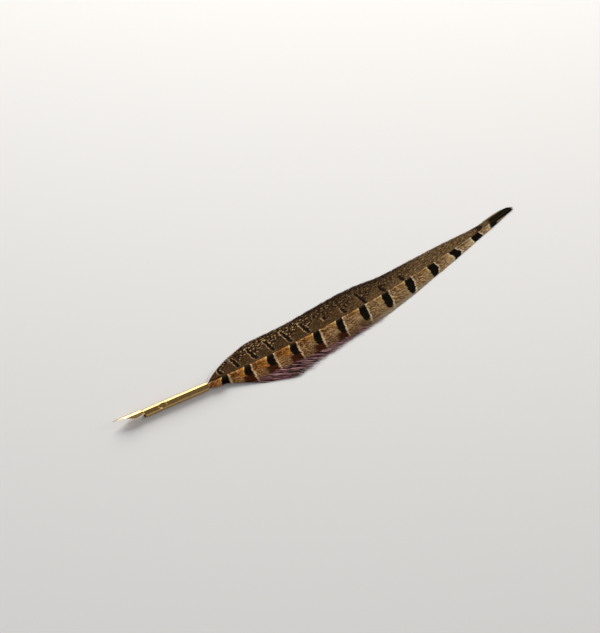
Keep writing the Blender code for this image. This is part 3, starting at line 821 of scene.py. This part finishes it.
def brown_pattern(paint):
    """Brown with dark mottle and pale flecks outside, plain inside, and thin dark lines."""
    x, w, reach = paint.x, paint.w, paint.reach
    ripple = paint.noise(x * 0.6, w * 0.6, 2.0, detail=2.0) - 0.5
    tooth = paint.noise(x * 1.5, w * 1.5, 6.0, detail=1.5) - 0.5
    middle_part = paint.ease(x, 88.0, 105.0)
    beside = paint.offset * LINE_PITCH + ripple * 1.8 + tooth * (middle_part * 1.2 + 0.8)
    # The mark before the tip points toward it
    point = paint.math("MAXIMUM", 1.0 - abs(w - MARK_POINT) / MARK_POINT, 0.0)
    point = point * paint.ease(x, 198.0, 202.0)
    beside = beside - point * MARK_POINT
    along_line = abs(reach * 2.0 - 1.0)
    half = paint.ease(x, 110.0, 122.0, 0.92, 0.84) * paint.ease(reach, 0.0, 1.0, 1.25, 0.85)
    half = half + paint.ease(x, 198.0, 204.0) * 1.0
    spotty = tooth * middle_part * 1.8 * paint.ease(x, 200.0, 195.0)
    oval = ((abs(beside) / half).power(2.2) + along_line.power(6.0)).power(0.45)
    outside = (oval - 1.0) * half + spotty
    quiet = paint.ease(x, 156.0, 160.0) * paint.ease(x, 198.0, 195.0)
    line = (1.0 - paint.ease(outside, -0.14, 0.24)) * (1.0 - quiet)
    # Ground
    toward_tip = paint.ease(x, 90.0, 150.0)
    blush = paint.noise(x * 0.13, w * 0.22, 9.0, detail=1.0)
    plain = paint.mix(paint.ease(blush, 0.35, 0.65), seen(62, 46, 23), seen(72, 47, 26))
    late = paint.mix(paint.ease(blush, 0.35, 0.65), seen(86, 68, 42), seen(89, 65, 40))
    ground = paint.mix(toward_tip, plain, late)
    # Clouds of darker and paler barbs, stronger over the far half
    clouded = paint.noise(paint.root * 0.55, paint.run * 0.62, 17.0, detail=2.5, roughness=0.6)
    far_dark = paint.ease(clouded, 0.50, 0.58) * paint.ease(x, 118.0, 160.0, 0.60, 0.75)
    far_pale = paint.ease(clouded, 0.46, 0.38) * paint.ease(x, 118.0, 160.0, 0.14, 0.62)
    ground = paint.mix(far_dark, ground, seen(50, 33, 16))
    ground = paint.mix(far_pale, ground, seen(160, 134, 98))
    # Mottle: how far out it starts changes between one line and the next
    after = paint.math("FRACT", paint.offset + 1.0)
    start = paint.ease(after, 0.0, 1.0, 0.26, 0.52)
    zone = paint.ease(paint.share + ripple * 0.2, start - 0.05, start + 0.10)
    zone = zone * paint.ease(x, 172.0, 138.0, 0.10, 1.0)
    curls = paint.noise(paint.root * 0.60, paint.run * 0.80, 1.0, detail=1.5)
    crumbs = paint.noise(x * 0.85, w * 0.85, 3.0, detail=1.5)
    both = curls * 0.55 + crumbs * 0.45
    dark = paint.ease(both, 0.470, 0.505) * zone
    pale = paint.ease(both, 0.438, 0.402) * zone * paint.ease(x, 84.0, 104.0, 1.0, 0.7)
    ground = paint.mix(zone * 0.70, ground, seen(50, 33, 15))
    ground = paint.mix(pale * paint.ease(x, 140.0, 70.0, 0.42, 0.86), ground, seen(206, 164, 114))
    ground = paint.mix(dark * 0.94, ground, seen(27, 17, 8))
    # Fine speckle, stronger over the far half
    grit = paint.noise(paint.root * 1.3, paint.run * 0.9, 12.0, detail=3.0, roughness=0.7)
    speckle = paint.ease(grit, 0.51, 0.60) * paint.ease(x, 84.0, 150.0, 0.60, 0.80)
    ground = paint.mix(speckle * 0.66, ground, seen(58, 36, 16))
    shine = paint.ease(grit, 0.45, 0.36) * paint.ease(x, 60.0, 165.0, 0.15, 0.55)
    ground = paint.mix(shine, ground, seen(160, 128, 84))
    # Darker rim of the vane
    rim_dark = paint.ease(paint.share, 0.72, 0.95) * paint.ease(x, 60.0, 90.0)
    rim_dark = rim_dark * paint.ease(x, 172.0, 150.0)
    ground = paint.mix(rim_dark * 0.82, ground, seen(34, 21, 9))
    # Pale band before the tip
    pale_band = paint.ease(x, 207.0, 210.0) * paint.ease(x, 218.0, 214.0)
    ground = paint.mix(pale_band * 0.60, ground, seen(92, 76, 52))
    # Cream beside the dark lines, broken on the tip side
    base_side = paint.ease(beside, 0.3, -0.3)
    broken = paint.ease(crumbs, 0.54, 0.44) * (1.0 - base_side) + base_side
    broken = broken * paint.ease(tooth, 0.10, -0.06, 0.25, 1.0)
    rim = paint.ease(abs(outside - 0.50 + tooth * 0.9), 0.48, 0.10) * broken
    rim = rim * paint.ease(along_line, 1.5, 0.95) * (1.0 - line)
    rim = rim * paint.ease(w, 2.6, 6.0, 0.30, 1.0) * paint.ease(x, 135.0, 92.0)
    ground = paint.mix(rim * 0.80, ground, seen(196, 158, 114))
    line_color = paint.mix(paint.ease(x, 190.0, 200.0), seen(19, 14, 8), seen(34, 22, 12))
    ground = paint.mix(line * 0.97, ground, line_color)
    # Olive tip with a pale upper edge
    tip = paint.ease(x + ripple * 2.0 - w * 0.25, 213.0, 216.5)
    rim_pale = paint.ease(paint.share, 0.70, 0.92) * paint.ease(x, 228.0, 222.0)
    tip_color = paint.mix(rim_pale * 0.7, seen(21, 17, 7), seen(150, 126, 84))
    return paint.mix(tip, ground, tip_color)


def make_barred(name):
    paint = Feather(name)
    return paint.feather_finish(barred_pattern(paint))


def make_brown(name):
    paint = Feather(name)
    return paint.feather_finish(brown_pattern(paint))


def make_shaft_material(name):
    """Horn in the barred vane's colours, with fine lines along it."""
    paint = Feather(name)
    color = barred_pattern(paint)
    lines = paint.noise(paint.x * 0.05, paint.w * 9.0, paint.under * 3.0, detail=3.0)
    horn = paint.mix(paint.ease(paint.x, 19.5, 16.5), color, seen(205, 180, 132))
    horn = paint.mix(paint.ease(lines, 0.35, 0.75) * 0.25, horn, seen(70, 44, 22))
    horn = paint.mix(paint.under * 0.6, horn, seen(190, 168, 128))
    paint.bump(lines, 0.3, 0.04)
    return paint.finish(
        horn, paint.ease(lines, 0.3, 0.7, 0.74, 0.86), Specular_IOR_Level=0.03
    )


def make_brass(name, tone, dark, roughness):
    """Drawn and polished tube: fine lines along it, faint tarnish and handling marks."""
    paint = Paint(name)
    x, y, z = paint.place()
    drawn = paint.noise(x * 0.12, y * 9.0, z * 9.0, detail=4.0, roughness=0.6)
    clouds = paint.noise(x * 0.25, y * 0.5, z * 0.5, detail=3.0)
    specks = paint.cells(x, y, z, scale=1.6)
    mark = paint.ease(specks, 0.10, 0.03) * paint.ease(clouds, 0.45, 0.62)
    color = paint.mix(paint.ease(clouds, 0.42, 0.72) * 0.5, seen(*tone), seen(*dark))
    color = paint.mix(paint.ease(drawn, 0.40, 0.72) * 0.22, color, seen(*dark))
    color = paint.mix(mark * 0.5, color, seen(96, 66, 30))
    rough = paint.ease(drawn, 0.25, 0.8, roughness, roughness + 0.12)
    rough = rough + paint.ease(clouds, 0.5, 0.8) * 0.07 + mark * 0.2
    paint.bump(drawn * 0.8 + clouds * 0.2, 0.10, 0.02)
    return paint.finish(color, rough, Metallic=1.0)


def make_gold(name):
    """Gilt pressed steel: polished along the tines, with a worn point."""
    paint = Paint(name)
    x, y, z = paint.place()
    grain = paint.noise(x * 0.5, y * 7.0, z * 7.0, detail=3.0)
    clouds = paint.noise(x * 0.45, y * 0.7, z * 0.7, detail=2.0)
    worn = paint.ease(x, -35.0, -36.6)
    tarnish = paint.ease(clouds, 0.4, 0.7) * 0.4
    color = paint.mix(tarnish, seen(222, 188, 124), seen(196, 154, 90))
    color = paint.mix(worn * 0.55, color, seen(150, 138, 124))
    rough = paint.ease(grain, 0.3, 0.75, 0.17, 0.30) + worn * 0.1
    paint.bump(grain, 0.08, 0.02)
    return paint.finish(color, rough, Metallic=1.0)


def make_cork(name):
    paint = Paint(name)
    x, y, z = paint.place()
    grains = paint.cells(x, y, z, scale=1.5)
    fine = paint.noise(x, y, z, scale=3.0, detail=3.0)
    pits = paint.ease(grains, 0.16, 0.05)
    color = paint.mix(paint.ease(fine, 0.35, 0.7), seen(186, 140, 92), seen(150, 104, 62))
    color = paint.mix(pits * 0.8, color, seen(84, 52, 28))
    paint.bump(fine - pits * 0.8, 0.5, 0.08)
    return paint.finish(color, paint.ease(fine, 0.3, 0.7, 0.8, 0.92))


def make_glue(name):
    paint = Paint(name)
    x, y, z = paint.place()
    cloud = paint.noise(x, y, z, scale=1.2, detail=2.0)
    color = paint.mix(paint.ease(cloud, 0.3, 0.7), seen(170, 112, 48), seen(140, 84, 32))
    paint.bump(cloud, 0.4, 0.1)
    return paint.finish(color, paint.ease(cloud, 0.3, 0.7, 0.22, 0.38), Coat_Weight=0.3)


# ---------------------------------------------------------------------------------------
# Pieces
# ---------------------------------------------------------------------------------------

barred_look = make_barred("barred_barbs")
brown_look = make_brown("brown_barbs")
shaft_look = make_shaft_material("shaft_horn")


def make_web(name, side, first, last, material, material_slot, replaced):
    strands = Strands(name)
    for root in spaced(first, last, BARB_SPACING):
        vane_barb(strands, root, side)
    return strands.make(material, "holder", material_slot, replaced)


SHAFT_SIDES = 20
SHAFT_STEPS = 150
GROOVE_DEPTH = 0.30
GROOVE_WIDTH = 0.42
SQUARENESS = 0.06


def make_shaft():
    """Calamus with its hollow, and the rachis with a rounded back and a grooved belly."""
    strands = Strands("feather_shaft")

    def ring(x, bore):
        centre = shaft_centre(x)
        radius = CALAMUS_BORE_RADIUS if bore else shaft_radius(x)
        grown = 0.0 if bore else ease(x, 24.0, 44.0)
        points, places = [], []
        for k in range(SHAFT_SIDES):
            angle = (k + 0.5) * math.tau / SHAFT_SIDES
            out, up = math.sin(angle), math.cos(angle)
            belly = max(-up, 0.0)
            groove = grown * GROOVE_DEPTH * max(1.0 - abs(out) / GROOVE_WIDTH, 0.0) * (up < 0)
            square = 1.0 + SQUARENESS * grown * math.sin(2 * angle) ** 2
            reach_out = radius * square
            point = centre + Vector((0.0, out * reach_out, up * reach_out * (1.0 - groove)))
            points.append(point)
            phase, reach = pattern_place(x, out * radius, -1)
            places.append({
                "along": x, "across": out * radius, "phase": phase, "reach": reach,
                "share": 0.0, "strand": 0.5, "under": belly * grown,
                "root": x, "run": angle,
            })
        return strands.ring(points, places)

    stations = [SHAFT_START, 12.0, BARREL_REAR]
    free = SHAFT_END - BARREL_REAR
    stations += [BARREL_REAR + free * (k + 1) / SHAFT_STEPS for k in range(SHAFT_STEPS)]
    rings = [ring(CALAMUS_BORE_END, True), ring(SHAFT_START, True)]
    rings += [ring(x, False) for x in stations]
    for here, there in zip(rings, rings[1:]):
        strands.bridge(here, there)
    strands.cap(rings[0])
    strands.cap(rings[-1])
    return strands.make(shaft_look, "holder", "shaft_keratin", ["quill_shaft"])


make_shaft()

BROWN_ZONES = (20.5, 62.0, 104.0, 146.0, 232.0)
for k, (first, last) in enumerate(zip(BROWN_ZONES, BROWN_ZONES[1:])):
    make_web(f"brown_web_{k + 1}", 1, first, last, brown_look, "brown_vane", ["upper_vane"])

BARRED_ZONES = (
    (20.5, 60.0, "barred_vane", ["lower_vane_base", "barb_fringe"]),
    (60.0, 98.0, "barred_vane", ["lower_vane_base", "barb_fringe"]),
    (98.0, 137.0, "barred_vane", ["lower_vane_base", "barb_fringe"]),
    (137.0, 232.0, "barred_vane_tip", ["lower_vane_tip"]),
)
for k, (first, last, material_slot, replaced) in enumerate(BARRED_ZONES):
    make_web(f"barred_web_{k + 1}", -1, first, last, barred_look, material_slot, replaced)

fringe = Strands("fringe_strands")
for root in spaced(26.0, 108.0, 0.26):
    loose_barb(fringe, root + draw.uniform(-0.2, 0.2), -1)
fringe.make(barred_look, "holder", "fringe_purple", ["barb_fringe"])

down = Strands("base_down")
for _ in range(110):
    down_barb(down, -1)
down.make(barred_look, "holder", "barred_vane", ["lower_vane_base"])

brown_down = Strands("base_down_brown")
for _ in range(36):
    down_barb(brown_down, 1)
# Points along two stray barbs, each x, distance from the shaft's line and height
LONG_STRAY = ((19.3, 1.7, 3.6), (21.5, 3.6, 4.2), (24.0, 5.4, 4.4), (27.0, 6.9, 4.2))
SHORT_STRAY = ((19.4, 1.6, 3.3), (22.5, 3.4, 3.6), (26.5, 5.6, 3.4))
stray_barb(brown_down, LONG_STRAY, 0.09, 1)
stray_barb(brown_down, SHORT_STRAY, 0.06, 1)
brown_down.make(brown_look, "holder", "brown_vane", ["upper_vane"])

# The metal, cork and glue keep their CAD shapes
FINISHES = {
    "barrel": make_brass("drawn_brass", (192, 156, 98), (156, 120, 68), 0.13),
    "nib": make_gold("gilt_nib"),
    "nib_clip": make_brass("clip_bronze", (186, 138, 98), (128, 86, 56), 0.24),
    "end_plug": make_cork("plug_cork"),
    "glue_collar": make_glue("collar_glue"),
}
for node, material in FINISHES.items():
    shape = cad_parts[node]
    shape.data.materials.clear()
    shape.data.materials.append(material)

# ---------------------------------------------------------------------------------------
# Floor, light and camera
# ---------------------------------------------------------------------------------------
FLOOR_HALF = 6.0


def make_floor():
    bm = bmesh.new()
    corners = [(-1, -1), (1, -1), (1, 1), (-1, 1)]
    bm.faces.new([bm.verts.new((x * FLOOR_HALF, y * FLOOR_HALF, 0.0)) for x, y in corners])
    mesh = bpy.data.meshes.new("floor")
    bm.to_mesh(mesh)
    bm.free()
    paint = Paint("pale_floor")
    paint.finish((0.80, 0.79, 0.77), 0.9, Specular_IOR_Level=0.1)
    mesh.materials.append(paint.material)
    floor = bpy.data.objects.new("floor", mesh)
    bpy.context.scene.collection.objects.link(floor)


def add_light(name, place, aim, size, power, color):
    data = bpy.data.lights.new(name, "AREA")
    data.shape = "RECTANGLE"
    data.size, data.size_y = size
    data.energy = power
    data.color = color
    light = bpy.data.objects.new(name, data)
    light.location = place
    light.rotation_euler = (Vector(aim) - Vector(place)).to_track_quat("-Z", "Y").to_euler()
    bpy.context.scene.collection.objects.link(light)


def make_world(color, strength):
    world = bpy.data.worlds.new("studio")
    world.use_nodes = True
    background = world.node_tree.nodes["Background"]
    background.inputs["Color"].default_value = (*color, 1.0)
    background.inputs["Strength"].default_value = strength
    bpy.context.scene.world = world


CAMERA_AIM = Vector((0.08777, 0.01938, 0.0))
CAMERA_DISTANCE = 1.5136
CAMERA_AZIMUTH = math.radians(-33.65)
CAMERA_ELEVATION = math.radians(50.94)
CAMERA_ROLL = math.radians(4.21)
CAMERA_LENS = 158.07


def make_camera():
    flat = math.cos(CAMERA_ELEVATION)
    back = Vector((
        math.sin(CAMERA_AZIMUTH) * flat, -math.cos(CAMERA_AZIMUTH) * flat,
        math.sin(CAMERA_ELEVATION),
    ))
    level = Vector((0.0, 0.0, 1.0)).cross(back).normalized()
    upright = back.cross(level)
    right = level * math.cos(CAMERA_ROLL) + upright * math.sin(CAMERA_ROLL)
    up = back.cross(right)
    data = bpy.data.cameras.new("camera")
    data.lens = CAMERA_LENS
    data.sensor_width = 36.0
    data.clip_start = 0.05
    data.clip_end = 20.0
    camera = bpy.data.objects.new("camera", data)
    turned = Matrix((right, up, back)).transposed().to_4x4()
    turned.translation = CAMERA_AIM + back * CAMERA_DISTANCE
    camera.matrix_world = turned
    bpy.context.scene.collection.objects.link(camera)
    bpy.context.scene.camera = camera


make_floor()
make_world((0.93, 0.95, 1.0), 0.26)
PEN_MIDDLE = (0.09, 0.01, 0.0)
add_light("key", (0.52, 0.88, 0.68), PEN_MIDDLE, (0.9, 0.9), 17.0, (1.0, 0.98, 0.95))
add_light("fill", (-0.75, -0.55, 0.70), PEN_MIDDLE, (0.9, 0.9), 2.0, (0.96, 0.98, 1.0))
add_light("glint", (1.25, -0.28, 0.52), (0.0, 0.0, 0.0), (0.5, 0.5), 2.4, (1.0, 0.93, 0.88))
bpy.context.scene.view_settings.view_transform = "Standard"
make_camera()
